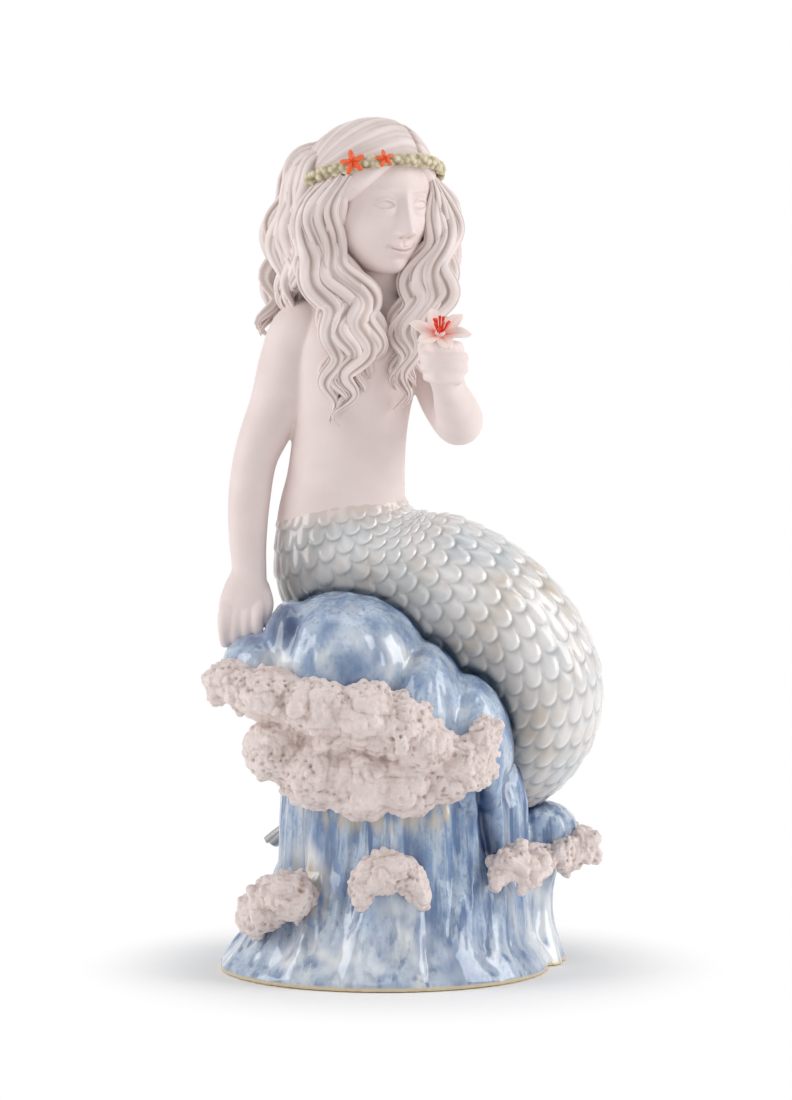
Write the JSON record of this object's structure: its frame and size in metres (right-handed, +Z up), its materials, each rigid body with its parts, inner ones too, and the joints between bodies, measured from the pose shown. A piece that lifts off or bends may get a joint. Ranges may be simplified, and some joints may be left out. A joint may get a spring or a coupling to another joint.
{
  "type": "mermaid figurine",
  "caption": "Porcelain figurine of a mermaid seated on a breaking wave, holding a lily and wearing a seaweed headband.",
  "frame": {"origin": "centre of the bounding box at the level of the foot rim", "axes": "+Z up, +X to the viewer's right in the front view, -Y towards the viewer"},
  "size_m": [0.1809, 0.1366, 0.3802],
  "materials": {
    "skin_bisque": "matte unglazed porcelain, warm white",
    "hair_bisque": "matte unglazed porcelain, warm white",
    "scale_glaze": "glossy pale grey glaze over relief scales",
    "wave_glaze": "glossy streaked blue glaze",
    "foam_bisque": "matte pitted porcelain",
    "foot_clay": "bare beige foot rim",
    "seaweed_glaze": "satin yellow-green",
    "coral_glaze": "satin orange",
    "petal_bisque": "matte pale pink",
    "stamen_glaze": "satin red-orange"
  },
  "bodies": {
    "root": {"mermaid_on_wave": "skin_bisque", "headband": "seaweed_glaze", "starfish_large": "coral_glaze", "starfish_small": "coral_glaze", "lily_flower": "petal_bisque"}
  },
  "joints": []
}
